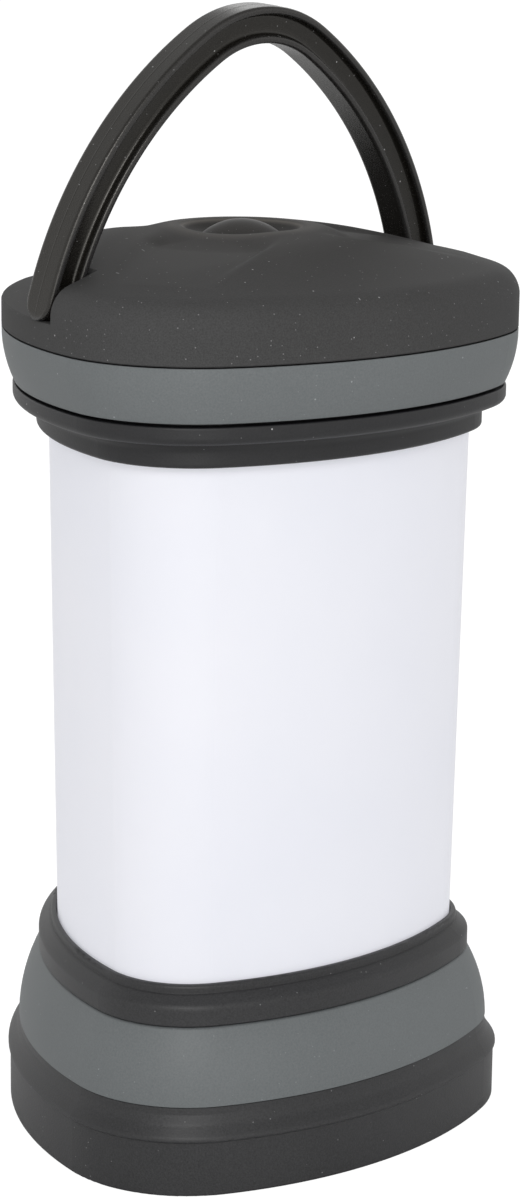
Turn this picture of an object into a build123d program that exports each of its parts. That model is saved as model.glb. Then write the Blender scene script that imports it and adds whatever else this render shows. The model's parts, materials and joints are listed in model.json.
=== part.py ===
"""Camping lantern with a rounded-triangle body, an opal diffuser and a folding bail handle.

Millimetres, +Z up. The origin is the centre of the body's axis on the surface the lantern
stands on. The flat front side of the triangle faces -Y and the handle pivots about X.
Nearly every ring of the body follows one outline: three corner arcs joined by three large
side arcs. A ring is drawn as a section of (offset from that outline, height) and swept round.
"""
from build123d import *
import math
import os

# ---- driving dimensions ---------------------------------------------------------------
CORNER_REACH = 30.2        # from the axis to the centre of each corner arc
CORNER_RADIUS = 28.9       # corner arc of the foot's wall, offset 0
SIDE_RADIUS = 93.3         # side arc of the foot's wall, offset 0
CORNER_ANGLES = (90.0, 210.0, 330.0)
FAR = 400.0                # reach of cutting blocks

WALL = 2.4                 # moulded wall of the black housings
BAND_WALL = 2.2            # wall of the grey trim bands
SEAM = 0.2                 # visible seam between two rings
SLIDE_GAP = 0.3            # gap between pieces that are only placed side by side
FIT_GAP = 0.06             # radial running fit of the handle stubs and the button
SEAL = 1.0                 # thickness of the seals at the diffuser's ends

# base, from the floor up
FOOT_CREASE_Z = 11.8
FOOT_TOP_Z = 18.7
FOOT_BULGE = 0.45
FOOT_TONGUE_OFFSET = -5.8  # outer face of the tongue that locates the band
BASE_BAND_HEIGHT = 15.9
BASE_BAND_LOW_OFFSET = -2.0
BASE_BAND_TOP_OFFSET = -6.45
BASE_BAND_LOW_Z = FOOT_TOP_Z + SEAM
BASE_BAND_TOP_Z = BASE_BAND_LOW_Z + BASE_BAND_HEIGHT
COLLAR_WALL_HEIGHT = 4.1
COLLAR_HEIGHT = 8.0
DECK_THICKNESS = 2.2
DECK_TOP_Z = BASE_BAND_TOP_Z + 4.7
DECK_LOW_Z = DECK_TOP_Z - DECK_THICKNESS

# diffuser
DIFFUSER_LENGTH = 114.5
DIFFUSER_LOW_OFFSET = -10.65
DIFFUSER_HIGH_OFFSET = -9.0
DIFFUSER_WALL = 2.0
DIFFUSER_LOW_Z = DECK_TOP_Z + SEAL
DIFFUSER_HIGH_Z = DIFFUSER_LOW_Z + DIFFUSER_LENGTH

# lid, from the diffuser's top edge up
LID_OVERLAP = 2.4          # how far the lid's collar reaches down over the diffuser
TIER2_OFFSET = -6.35
TIER2_HEIGHT = 5.4
TIER1_OFFSET = -1.3
TIER1_HEIGHT = 3.8
LID_BAND_HEIGHT = 11.4
LID_BAND_LOW_OFFSET = -1.5
LID_OFFSET = 0.98
LID_PLATE_LOW_Z = DIFFUSER_HIGH_Z + SEAL
LID_PLATE_TOP_Z = LID_PLATE_LOW_Z + DECK_THICKNESS
TIER2_LOW_Z = DIFFUSER_HIGH_Z - LID_OVERLAP
TIER1_LOW_Z = TIER2_LOW_Z + TIER2_HEIGHT
TIER1_TOP_Z = TIER1_LOW_Z + TIER1_HEIGHT
LID_BAND_LOW_Z = TIER1_TOP_Z + 0.7
LID_BAND_TOP_Z = LID_BAND_LOW_Z + LID_BAND_HEIGHT
DOME_LOW_Z = LID_BAND_TOP_Z + SEAM
DOME_WALL_HEIGHT = 7.5
DOME_WALL_TOP_Z = DOME_LOW_Z + DOME_WALL_HEIGHT

# push button and the dish it sits in
BUTTON_RADIUS = 8.3
BUTTON_TRAVEL = 1.0
BUTTON_CAP_RISE = 3.0
BUTTON_FLANGE_RADIUS = BUTTON_RADIUS + 1.7
BUTTON_STEM_RADIUS = 2.6
PLUNGER_RADIUS = 1.75
DISH_RADIUS = BUTTON_RADIUS + 4.4
DISH_DEPTH = 2.6
DISH_FLOOR_WALL = 1.8

# crown of the dome
CROWN_RISE = 14.4         # from the top of the dome's wall to the rim of the dish
CROWN_RIM_Z = DOME_WALL_TOP_Z + CROWN_RISE
CROWN_FALL = 9.6           # fall of the crown from the dish to the reach of a corner
CROWN_SWELL = 0.35        # how far the crown rises above a straight cone half way out
SCOOP_INNER = DISH_RADIUS + 6.0
SCOOP_BOTTOM = DISH_RADIUS + 14.5
SCOOP_OUTER = DISH_RADIUS + 33.8
SCOOP_DEPTH = 1.7
SCOOP_HALF_WIDTH = 14.4    # at the inner end
SCOOP_TAPER = 8.5          # degrees by which each side of a scoop turns in
SCOOP_SIDE_LEAN = 40.0     # degrees by which its side walls lean back

# handle
PIVOT_Z = DOME_WALL_TOP_Z + 2.4
HANDLE_LEAN = 4.4          # degrees forward of upright, as the handle stands at rest
HANDLE_SPAN_INSET = 0.0    # from the lid's wall to the outside of each leg at the pivot
HANDLE_APEX_INSET = 2.2    # from the lid's rear corner to the apex of the folded handle
HANDLE_APEX_RADIUS = 29.6
HANDLE_FLANK_RADIUS = 87.0
HANDLE_THICKNESS = 7.7
HANDLE_WIDTH = 8.0
HANDLE_FLANGE = 1.5
HANDLE_CHANNEL = 1.9
STUB_RADIUS = 2.5
STUB_LENGTH = 5.2
PIVOT_BOSS_RADIUS = STUB_RADIUS + 2.5
LEDGE_GAP = 0.8            # between the folded handle and the wall inside it
LEDGE_DRAFT = 0.078        # how far that wall leans inwards, per unit of height
LEDGE_FRONT_Y = -HANDLE_WIDTH / 2 - 1.5

# battery bay
SCREW_RADIUS = 1.5
HEAD_RADIUS = SCREW_RADIUS + 1.3
BOSS_RADIUS = SCREW_RADIUS + 2.1
BASE_SCREW_REACH = CORNER_REACH + 16.0
DOOR_RADIUS = BASE_SCREW_REACH - HEAD_RADIUS - 1.4
DOOR_LOW_Z = 1.4
DOOR_THICKNESS = 2.2
DOOR_SKIRT = 3.0
FLOOR_LOW_Z = DOOR_LOW_Z
FLOOR_TOP_Z = DOOR_LOW_Z + DOOR_THICKNESS + 0.1
TRAY_LOW_Z = DOOR_LOW_Z + DOOR_THICKNESS + DOOR_SKIRT + 0.4
CELL_RADIUS = 7.25
CELL_LENGTH = 50.5
CELL_PITCH = 2 * CELL_RADIUS + 0.7
CELL_COUNT = 4
CELL_CENTRE_Z = TRAY_LOW_Z + CELL_RADIUS + 0.25
TRAY_TOP_Z = CELL_CENTRE_Z + CELL_RADIUS + 2.25
TRAY_CORNER_RADIUS = 6.0
TRAY_POST = (27.0, 20.0)   # place of the posts that hang the tray from the deck
CONTACT_ROOM = 3.2         # space for a contact beyond each end of a cell
CONTACT_SHEET = 0.4

# electronics
BOARD_THICKNESS = 1.6
LID_SCREW_REACH = CORNER_REACH + 9.8
LID_SCREW_DEPTH = 12.0
CONDUIT_RADIUS = 2.6
CONDUIT_WALL = 0.8
CONDUIT_Y = LID_SCREW_REACH - HEAD_RADIUS - CONDUIT_RADIUS - 1.1
HEATSINK_RADIUS = CONDUIT_Y - CONDUIT_RADIUS - 4.9
LED_BOARD_RADIUS = HEATSINK_RADIUS - 2.0
LED_RING_RADIUS = LED_BOARD_RADIUS / 2
SWITCH_BOARD_Z = CROWN_RIM_Z - 14.8
SWITCH_TOP_Z = SWITCH_BOARD_Z + BOARD_THICKNESS + 3.4
SWITCH_POST_X = BUTTON_FLANGE_RADIUS + 7.0
SWITCH_SCREW_RADIUS = 1.0


# ---- the outline and what is made from it ---------------------------------------------
def side_setback():
    """Distance from the line between two corner centres back to their side arc's centre."""
    half = CORNER_REACH * math.sqrt(3) / 2
    return math.sqrt((SIDE_RADIUS - CORNER_RADIUS) ** 2 - half ** 2)


def corner_reach():
    """Distance from the axis to the lid's wall at a corner."""
    return CORNER_REACH + CORNER_RADIUS + LID_OFFSET


def lid_half_width():
    """Half width of the lid's wall on the line through the handle's pivots."""
    back = side_setback() - CORNER_REACH / 2
    angle = math.radians(30)
    reach = math.sqrt((SIDE_RADIUS + LID_OFFSET) ** 2 - (back * math.sin(angle)) ** 2)
    return reach - back * math.cos(angle)


PIVOT_HALF_SPAN = lid_half_width() - HANDLE_SPAN_INSET
STUB_X = PIVOT_HALF_SPAN - HANDLE_THICKNESS - STUB_LENGTH / 2


def outline(offset=0.0, z=0.0):
    """Closed outline of corner and side arcs, at an offset outside the foot's wall."""
    centres = [Vector(CORNER_REACH, 0, 0).rotate(Axis.Z, angle) for angle in CORNER_ANGLES]
    setback = side_setback()
    corner = CORNER_RADIUS + offset
    side = SIDE_RADIUS + offset
    arcs = []
    for k in range(3):
        here = centres[k]
        after = centres[(k + 1) % 3]
        before = centres[(k + 2) % 3]
        normal_after = (here + after).normalized()
        normal_before = (here + before).normalized()
        side_after = (here + after) / 2 - normal_after * setback
        side_before = (here + before) / 2 - normal_before * setback
        start = here + (here - side_before).normalized() * corner
        middle = here + here.normalized() * corner
        end = here + (here - side_after).normalized() * corner
        next_start = after + (after - side_after).normalized() * corner
        arcs.append(ThreePointArc(start, middle, end))
        arcs.append(ThreePointArc(end, side_after + normal_after * side, next_start))
    return Pos(0, 0, z) * Wire(arcs)


def ring(section):
    """Sweep a section, drawn as x = offset and y = height, round the outline."""
    path = outline()
    start = path @ 0
    along = path % 0
    plane = Plane(origin=start, x_dir=(along.Y, -along.X, 0), z_dir=-along)
    return sweep(plane * section, path=path)


def prism(offset, low, high):
    """Solid block with the outline's shape."""
    return extrude(Face(outline(offset, low)), high - low, dir=(0, 0, 1))


def section(*points, rounded=()):
    """Closed polygon; each entry of rounded is (index of a point, radius)."""
    face = make_face(Polyline(*points, close=True))
    for index, radius in rounded:
        corner = face.vertices().sort_by_distance(Vector(*points[index]))[0]
        face = fillet(corner, radius)
    return face


def band_section(low, high, low_offset, high_offset, bulge, edge):
    """Section of a trim band: a bowed outer face, a bevelled top edge, a parallel inner face."""
    middle = ((low_offset + high_offset) / 2 + bulge, (low + high) / 2)
    outer = ThreePointArc((low_offset, low), middle, (high_offset, high - edge))
    inner = ThreePointArc(
        (high_offset - BAND_WALL, high), (middle[0] - BAND_WALL, middle[1]), (low_offset - BAND_WALL, low))
    bevel = Line(outer @ 1, (high_offset - edge, high))
    top = Line(bevel @ 1, inner @ 0)
    bottom = Line(inner @ 1, outer @ 0)
    return make_face([outer, bevel, top, inner, bottom])


def at_corners(reach, shape):
    """One copy of a shape at each corner of the triangle."""
    return [Rot(0, 0, angle) * Pos(reach, 0, 0) * shape for angle in CORNER_ANGLES]


def column(radius, low, high):
    """Upright cylinder between two heights."""
    return Pos(0, 0, low) * Cylinder(radius, high - low, align=(Align.CENTER, Align.CENTER, Align.MIN))


def block(x0, x1, y0, y1, z0, z1):
    """Box between two corners."""
    return Pos(x0, y0, z0) * Box(x1 - x0, y1 - y0, z1 - z0, align=(Align.MIN, Align.MIN, Align.MIN))


# ---- base ------------------------------------------------------------------------------
def base_foot():
    """Foot shell: wall, bulged shoulder, floor with a round battery opening, screw posts."""
    tongue = FOOT_TONGUE_OFFSET
    neck = BASE_BAND_LOW_OFFSET - 0.3
    wall = section(
        (-WALL, 0), (0, 0), (0, FOOT_CREASE_Z), (FOOT_BULGE, FOOT_CREASE_Z + 0.4),
        (FOOT_BULGE, FOOT_TOP_Z - 5.9), (neck + 0.9, FOOT_TOP_Z - 3.4), (neck + 0.2, FOOT_TOP_Z - 1.5),
        (neck, FOOT_TOP_Z), (tongue, FOOT_TOP_Z), (tongue, FOOT_TOP_Z + 2.2),
        (tongue - 1.4, FOOT_TOP_Z + 2.2), (tongue - 1.4, FOOT_TOP_Z - 3.0), (-WALL, FOOT_TOP_Z - 6.6),
        rounded=((1, 0.4), (4, 1.6), (5, 3.0)),
    )
    opening = DOOR_RADIUS + SLIDE_GAP
    floor = prism(-WALL / 2, FLOOR_LOW_Z, FLOOR_TOP_Z) - column(opening, 0, FLOOR_TOP_Z)
    ledge = column(opening + 1.7, FLOOR_TOP_Z, FLOOR_TOP_Z + 1.4)
    ledge -= column(DOOR_RADIUS - 2.3, FLOOR_TOP_Z, FLOOR_TOP_Z + 1.4)
    for angle in CORNER_ANGLES:
        ledge -= Rot(0, 0, angle + 40) * block(DOOR_RADIUS - 5, DOOR_RADIUS, -9.5, 9.5, 0, FAR)
    posts = at_corners(BASE_SCREW_REACH, column(BOSS_RADIUS, FLOOR_TOP_Z - 0.4, FOOT_TOP_Z + 2.2))
    shell = ring(wall) + floor + ledge + posts
    shell -= at_corners(BASE_SCREW_REACH, column(SCREW_RADIUS + 0.2, 0, FAR))
    shell -= at_corners(BASE_SCREW_REACH, column(HEAD_RADIUS + SLIDE_GAP, 0, FLOOR_TOP_Z + 2.0))
    return shell


def base_trim_band():
    """Grey flared band of the base."""
    return ring(band_section(
        BASE_BAND_LOW_Z, BASE_BAND_TOP_Z, BASE_BAND_LOW_OFFSET, BASE_BAND_TOP_OFFSET, 1.0, 0.5))


def base_collar():
    """Black collar that grips the diffuser, with the deck that closes the base."""
    outer = BASE_BAND_TOP_OFFSET
    inner = DIFFUSER_LOW_OFFSET + SLIDE_GAP
    low = BASE_BAND_TOP_Z + SEAM
    step = low + COLLAR_WALL_HEIGHT + 1.9
    lip = low + COLLAR_HEIGHT
    skirt = outer - BAND_WALL - 0.6
    skirt_low = BASE_BAND_TOP_Z - 3.8
    wall = section(
        (outer, low), (outer, low + COLLAR_WALL_HEIGHT), (inner + 1.6, step), (inner + 1.2, step + 0.2),
        (inner + 1.2, lip), (inner, lip), (inner, DECK_TOP_Z), (inner - 1.0, DECK_LOW_Z),
        (skirt - 1.8, skirt_low), (skirt, skirt_low), (skirt, low),
        rounded=((1, 1.4), (4, 0.7)),
    )
    deck = prism(inner - 0.5, DECK_LOW_Z, DECK_TOP_Z) - column(HEATSINK_RADIUS - 3.0, 0, FAR)
    posts = at_corners(BASE_SCREW_REACH, column(BOSS_RADIUS, FOOT_TOP_Z + 2.2 + SEAM, DECK_LOW_Z + 0.5))
    collar = ring(wall) + deck + posts
    collar -= at_corners(BASE_SCREW_REACH, column(SCREW_RADIUS, 0, DECK_LOW_Z - 4.0))
    collar -= Pos(0, CONDUIT_Y, 0) * column(CONDUIT_RADIUS - CONDUIT_WALL, 0, FAR)
    return collar


def base_screws():
    """Three self-tapping screws that clamp foot, band and collar together."""
    seat = FLOOR_TOP_Z + 2.0
    head = column(HEAD_RADIUS, seat - 1.8, seat)
    shank = column(SCREW_RADIUS, seat, DECK_LOW_Z - 5.0)
    slot = block(-2.2, 2.2, -0.35, 0.35, 0, seat - 1.1)
    return Compound(at_corners(BASE_SCREW_REACH, head + shank - slot))


def battery_door():
    """Round twist-off cover with a grip bar and three bayonet lugs."""
    top = DOOR_LOW_Z + DOOR_THICKNESS
    skirt_radius = DOOR_RADIUS - 2.6
    disc = column(DOOR_RADIUS, DOOR_LOW_Z, top)
    disc = chamfer(disc.edges().group_by(Axis.Z)[0], 0.5)
    skirt = column(skirt_radius, top, top + DOOR_SKIRT) - column(skirt_radius - 1.8, top, top + DOOR_SKIRT)
    door = disc + skirt
    lug_low = FLOOR_TOP_Z + 1.4 + SLIDE_GAP
    lug_band = column(DOOR_RADIUS - 0.4, lug_low, top + DOOR_SKIRT) - column(skirt_radius - 0.5, 0, FAR)
    for angle in CORNER_ANGLES:
        door += lug_band & (Rot(0, 0, angle) * block(skirt_radius - 3, DOOR_RADIUS + 1, -8.5, 8.5, 0, FAR))
    bar = block(-DOOR_RADIUS / 2, DOOR_RADIUS / 2, -3.0, 3.0, DOOR_LOW_Z, top)
    for side in (-1, 1):
        dimple = Pos(0, side * 12.5, DOOR_LOW_Z - 12.6) * Sphere(14.0)
        door -= dimple - bar
    return door


# ---- battery bay -----------------------------------------------------------------------
def cell_x(index):
    """Centre of a cell across the tray."""
    return (index - (CELL_COUNT - 1) / 2) * CELL_PITCH


def battery_cell(index):
    """One AA cell lying along Y; neighbours point opposite ways."""
    half = CELL_LENGTH / 2
    button = 1.0
    can = Cylinder(CELL_RADIUS, CELL_LENGTH - button)
    can = Pos(0, 0, -button / 2) * chamfer(can.edges(), 0.5)
    terminal = Pos(0, 0, half - button / 2) * Cylinder(2.75, button)
    turn = -90 if index % 2 == 0 else 90
    return Pos(cell_x(index), 0, CELL_CENTRE_Z) * Rot(turn, 0, 0) * (can + terminal)


def battery_tray():
    """Tray with a trough for each cell, open towards the door and hung from the deck on posts."""
    half_x = CELL_COUNT * CELL_PITCH / 2 + 1.8
    half_y = CELL_LENGTH / 2 + CONTACT_ROOM + 2.0
    tray = block(-half_x, half_x, -half_y, half_y, TRAY_LOW_Z, TRAY_TOP_Z)
    tray = fillet(tray.edges().filter_by(Axis.Z), TRAY_CORNER_RADIUS)
    for x in (-TRAY_POST[0], TRAY_POST[0]):
        tray += [Pos(x, y, 0) * column(2.5, TRAY_TOP_Z, DECK_LOW_Z) for y in (-TRAY_POST[1], TRAY_POST[1])]
    for index in range(CELL_COUNT):
        x = cell_x(index)
        radius = CELL_RADIUS + SLIDE_GAP
        length = CELL_LENGTH + 2 * CONTACT_ROOM
        trough = Pos(x, 0, CELL_CENTRE_Z) * Rot(90, 0, 0) * Cylinder(radius, length)
        mouth = block(x - radius, x + radius, -length / 2, length / 2, 0, CELL_CENTRE_Z)
        tray -= trough + mouth
    return tray


def contact_plates():
    """Flat positive contacts, one against each cell's button end."""
    plates = []
    back = CELL_LENGTH / 2 + CONTACT_ROOM - 0.05
    touch = CELL_LENGTH / 2 + 0.05
    half = CELL_RADIUS - 2.25
    for index in range(CELL_COUNT):
        x = cell_x(index)
        low = CELL_CENTRE_Z - half
        plate = block(x - half, x + half, back - CONTACT_SHEET, back, low, low + 2 * half)
        dimple = Cylinder(2.2, back - touch, align=(Align.CENTER, Align.CENTER, Align.MAX))
        contact = plate + Pos(x, touch, CELL_CENTRE_Z) * Rot(90, 0, 0) * dimple
        plates.append(contact if index % 2 == 0 else contact.mirror(Plane.XZ))
    return Compound(plates)


def contact_springs():
    """Negative contacts: bowed leaf springs, one against each cell's flat end."""
    springs = []
    back = CELL_LENGTH / 2 + CONTACT_ROOM - 0.05
    face = back - CONTACT_SHEET
    touch = CELL_LENGTH / 2 + 0.05
    low = CELL_CENTRE_Z - CELL_RADIUS + 1.75
    high = CELL_CENTRE_Z + CELL_RADIUS - 1.75
    for index in range(CELL_COUNT):
        bow = ThreePointArc((face, low + 0.4), (touch, CELL_CENTRE_Z), (face, high - 0.4))
        under = ThreePointArc((face, high - 1.0), (touch + CONTACT_SHEET, CELL_CENTRE_Z), (face, low + 1.0))
        leaf = make_face([bow, Line(bow @ 1, under @ 0), under, Line(under @ 1, bow @ 0)])
        plate = make_face(Polyline((face, low), (back, low), (back, high), (face, high), close=True))
        strip = Pos(cell_x(index), 0, 0) * extrude(Plane.YZ * (leaf + plate), 2.5, both=True)
        springs.append(strip.mirror(Plane.XZ) if index % 2 == 0 else strip)
    return Compound(springs)


# ---- lamp ------------------------------------------------------------------------------
def driver_board():
    """Driver board on the tray, with its coil, chip and capacitor."""
    low = TRAY_TOP_Z
    legs = [Pos(x, y, 0) * column(2.0, low, low + 2.0) for x in (-18, 18) for y in (-13, 13)]
    board = block(-23, 23, -17, 17, low + 2.0, low + 2.0 + BOARD_THICKNESS)
    top = low + 2.0 + BOARD_THICKNESS
    coil = Pos(-12, 4, 0) * (column(5.0, top, top + 3.6) - column(1.6, top + 0.8, top + 4))
    chip = block(2, 9, -6, 0, top, top + 1.4)
    capacitor = Pos(14, 8, 0) * column(2.6, top, top + 3.8)
    return board + legs + coil + chip + capacitor


def heat_sink():
    """Aluminium heat sink under the lamp board: a flanged disc with radial fins."""
    flange = column(HEATSINK_RADIUS, DECK_TOP_Z, DECK_TOP_Z + 1.0)
    core = column(HEATSINK_RADIUS - 3.0 - SLIDE_GAP, DECK_LOW_Z - 0.5, DECK_TOP_Z)
    sink = flange + core
    for k in range(12):
        sink += Rot(0, 0, 30 * k) * block(6, HEATSINK_RADIUS - 3.8, -0.6, 0.6, DECK_LOW_Z - 4.2, DECK_LOW_Z)
    return sink


def led_board():
    """Round aluminium-core board."""
    low = DECK_TOP_Z + 1.0
    lead_hole = Pos(0, LED_BOARD_RADIUS - 4.0, 0) * column(1.2, 0, FAR)
    return column(LED_BOARD_RADIUS, low, low + BOARD_THICKNESS) - lead_hole


def leds():
    """Ring of emitters with one in the middle, each a square package with a clear dome."""
    low = DECK_TOP_Z + 1.0 + BOARD_THICKNESS
    package = block(-1.75, 1.75, -1.75, 1.75, low, low + 0.7)
    lens = Pos(0, 0, low + 0.7) * (Sphere(1.4) & block(-2, 2, -2, 2, 0, 3))
    emitter = package + lens
    spots = [Rot(0, 0, 60 * k) * Pos(LED_RING_RADIUS, 0, 0) * emitter for k in range(6)]
    return Compound(spots + [emitter])


def diffuser():
    """Opal tube, drafted so that it widens slightly to the top."""
    low = DIFFUSER_LOW_OFFSET
    high = DIFFUSER_HIGH_OFFSET
    return ring(section(
        (low, DIFFUSER_LOW_Z), (high, DIFFUSER_HIGH_Z), (high - DIFFUSER_WALL, DIFFUSER_HIGH_Z),
        (low - DIFFUSER_WALL, DIFFUSER_LOW_Z),
    ))


def end_seal(offset, low, high):
    """Rubber ring under or over one end of the diffuser."""
    inner = offset - DIFFUSER_WALL
    return ring(section((inner, low), (offset, low), (offset, high), (inner, high)))


def wire_conduit():
    """White tube that carries the switch lead up inside the diffuser."""
    tube = column(CONDUIT_RADIUS, DECK_TOP_Z, LID_PLATE_LOW_Z)
    return Pos(0, CONDUIT_Y, 0) * (tube - column(CONDUIT_RADIUS - CONDUIT_WALL, 0, FAR))


# ---- lid -------------------------------------------------------------------------------
def lid_collar():
    """Stepped black collar under the lid, with the plate that closes the diffuser."""
    inner = DIFFUSER_HIGH_OFFSET + SLIDE_GAP
    sleeve = LID_BAND_LOW_OFFSET - BAND_WALL - 0.4
    sleeve_top = LID_BAND_TOP_Z - 2.0
    wall = section(
        (inner, TIER2_LOW_Z), (TIER2_OFFSET, TIER2_LOW_Z), (TIER2_OFFSET, TIER1_LOW_Z - 1.8),
        (TIER2_OFFSET + 1.2, TIER1_LOW_Z), (TIER1_OFFSET, TIER1_LOW_Z), (TIER1_OFFSET, TIER1_TOP_Z),
        (sleeve, TIER1_TOP_Z), (sleeve, sleeve_top), (sleeve - 1.8, sleeve_top),
        (sleeve - 1.8, LID_PLATE_TOP_Z), (inner - 0.3, LID_PLATE_TOP_Z), (inner, LID_PLATE_LOW_Z),
        rounded=((1, 0.8), (2, 1.2), (4, 1.6), (5, 0.4)),
    )
    plate = prism(inner + 0.5, LID_PLATE_LOW_Z, LID_PLATE_TOP_Z)
    plate -= Pos(0, CONDUIT_Y, 0) * column(CONDUIT_RADIUS - CONDUIT_WALL, 0, FAR)
    collar = ring(wall) + plate
    collar -= at_corners(LID_SCREW_REACH, column(SCREW_RADIUS + 0.2, 0, FAR))
    return collar


def lid_trim_band():
    """Grey flared band of the lid."""
    return ring(band_section(LID_BAND_LOW_Z, LID_BAND_TOP_Z, LID_BAND_LOW_OFFSET, LID_OFFSET, 0.7, 0.1))


def crown_height(radius):
    """Height of the crown's outer surface at a radius from the axis."""
    share = (radius - DISH_RADIUS) / (corner_reach() - DISH_RADIUS)
    return CROWN_RIM_Z - CROWN_FALL * share + 4 * CROWN_SWELL * share * (1 - share)


def crown(inset):
    """Round crown of the dome: everything below a gently swelling cone."""
    edge = corner_reach()
    middle = (edge + DISH_RADIUS) / 2
    low = DOME_LOW_Z - 1
    rim = (DISH_RADIUS, CROWN_RIM_Z - inset)
    slope = ThreePointArc(rim, (middle, crown_height(middle) - inset), (edge, crown_height(edge) - inset))
    return revolve(Plane.XZ * make_face([
        slope, Line(slope @ 1, (edge, low)), Line((edge, low), (0, low)),
        Line((0, low), (0, rim[1])), Line((0, rim[1]), rim)]), Axis.Z)


def dome_hull(inset):
    """Outer form of the dome without its recesses: wall, soft shoulder and crown."""
    edge = LID_OFFSET - inset
    low = DOME_LOW_Z - 1
    top = DOME_WALL_TOP_Z - inset * 0.6
    core = edge - 25.0
    bend = (edge - 4.6, top + 5.2)
    shoulder = make_face([
        Line((edge, low), (edge, top)),
        ThreePointArc((edge, top), (edge - 1.3, top + 3.1), bend),
        Polyline(bend, (edge - 11.4, top + 7.35), (core, top + 12.2), (core, low), (edge, low)),
    ])
    return (ring(shoulder) + prism(core + 1.0, low, CROWN_RIM_Z + 1)) & crown(inset)


def handle_ledge(inset):
    """Step all round the rear of the dome into which the handle folds."""
    floor = PIVOT_Z - HANDLE_WIDTH / 2 - SLIDE_GAP - inset
    inner = LID_OFFSET - HANDLE_APEX_INSET - HANDLE_THICKNESS - LEDGE_GAP - inset
    height = 20.0
    top = (inner - LEDGE_DRAFT * height, floor + height)
    step = ring(section((inner, floor), (10, floor), (10, floor + height), top))
    return step & block(-FAR, FAR, LEDGE_FRONT_Y - inset, FAR, 0, 2 * FAR)


def scoops(inset):
    """Shallow scoops from the rim round the dish towards the corners, with leaning sides."""
    inner = SCOOP_INNER + inset
    bottom = crown_height(SCOOP_BOTTOM) - SCOOP_DEPTH - inset
    top = CROWN_RIM_Z + 9
    hollow = revolve(Plane.XZ * section(
        (inner, crown_height(SCOOP_INNER) - inset), (SCOOP_BOTTOM, bottom),
        (SCOOP_OUTER, crown_height(SCOOP_OUTER) - inset), (SCOOP_OUTER, top), (inner, top),
        rounded=((1, 12.0),)), Axis.Z)
    half = SCOOP_HALF_WIDTH + inset
    length = SCOOP_OUTER - SCOOP_INNER + 20
    end = half - length * math.tan(math.radians(SCOOP_TAPER))
    plan = make_face(Polyline((0, -half), (length, -end), (length, end), (0, half), close=True))
    wedge = extrude(Pos(SCOOP_INNER - 10, 0, bottom) * plan, 14, dir=(0, 0, 1), taper=-SCOOP_SIDE_LEAN)
    return [Rot(0, 0, angle) * (wedge & hollow) for angle in CORNER_ANGLES]


def dish():
    """Round hollow with a rolled rim in which the button sits."""
    floor = CROWN_RIM_Z - DISH_DEPTH
    flat = BUTTON_RADIUS + 1.0
    brink = (DISH_RADIUS - 0.4, CROWN_RIM_Z - 0.9)
    crest = (DISH_RADIUS + 0.9, CROWN_RIM_Z + 0.1)
    wall = ThreePointArc((flat, floor), (DISH_RADIUS - 1.4, floor + 0.8), brink)
    rim = ThreePointArc(brink, (DISH_RADIUS - 0.1, CROWN_RIM_Z - 0.4), crest)
    outer = (crest[0], CROWN_RIM_Z + 5)
    return revolve(Plane.XZ * make_face([
        Line((0, floor), (flat, floor)), wall, rim, Line(crest, outer),
        Line(outer, (0, CROWN_RIM_Z + 5)), Line((0, CROWN_RIM_Z + 5), (0, floor))]), Axis.Z)


def dome_fittings():
    """Screw posts and switch-board posts, cut off just inside the dome's skin."""
    posts = at_corners(LID_SCREW_REACH, column(BOSS_RADIUS, LID_PLATE_TOP_Z, CROWN_RIM_Z))
    board_top = SWITCH_BOARD_Z + BOARD_THICKNESS
    for x in (-SWITCH_POST_X, SWITCH_POST_X):
        posts.append(Pos(x, 0, 0) * column(2.6, board_top, CROWN_RIM_Z))
    skin = dome_hull(1.0) - handle_ledge(0.5) - scoops(0.5)
    below = column(FAR, 0, DOME_LOW_Z)
    return [post & (skin + below) for post in posts]


def lid_dome():
    """Soft-touch dome shell with the dish, scoops, handle ledge and pivot bosses."""
    plate_low = CROWN_RIM_Z - DISH_DEPTH - DISH_FLOOR_WALL
    outer = dome_hull(0) - column(FAR, 0, DOME_LOW_Z) - handle_ledge(0) - scoops(0) - dish()
    hollow = dome_hull(WALL) - handle_ledge(WALL) - scoops(WALL) - column(DISH_RADIUS + 2, plate_low, FAR)
    boss = Rot(0, 90, 0) * Cylinder(PIVOT_BOSS_RADIUS, STUB_LENGTH + 0.6)
    bosses = [Pos(side * (STUB_X - 2.0), 0, PIVOT_Z) * boss for side in (-1, 1)]
    bore = Rot(0, 90, 0) * Cylinder(STUB_RADIUS + FIT_GAP, 30)
    dome = outer - hollow + dome_fittings() + bosses
    dome -= at_corners(LID_SCREW_REACH, column(SCREW_RADIUS, 0, LID_PLATE_TOP_Z + LID_SCREW_DEPTH))
    dome -= [Pos(side * STUB_X, 0, PIVOT_Z) * bore for side in (-1, 1)]
    dome -= column(BUTTON_RADIUS + FIT_GAP, 0, FAR)
    pilot = column(SWITCH_SCREW_RADIUS, 0, SWITCH_BOARD_Z + 7)
    dome -= [Pos(x, 0, 0) * pilot for x in (-SWITCH_POST_X, SWITCH_POST_X)]
    return dome


def lid_screws():
    """Three screws up through the lid plate into the dome's posts."""
    head = column(HEAD_RADIUS, LID_PLATE_LOW_Z - 1.8, LID_PLATE_LOW_Z)
    shank = column(SCREW_RADIUS, LID_PLATE_LOW_Z, LID_PLATE_TOP_Z + LID_SCREW_DEPTH - 2)
    slot = block(-2.2, 2.2, -0.35, 0.35, LID_PLATE_LOW_Z - 2, LID_PLATE_LOW_Z - 1)
    return Compound(at_corners(LID_SCREW_REACH, head + shank - slot))


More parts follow.
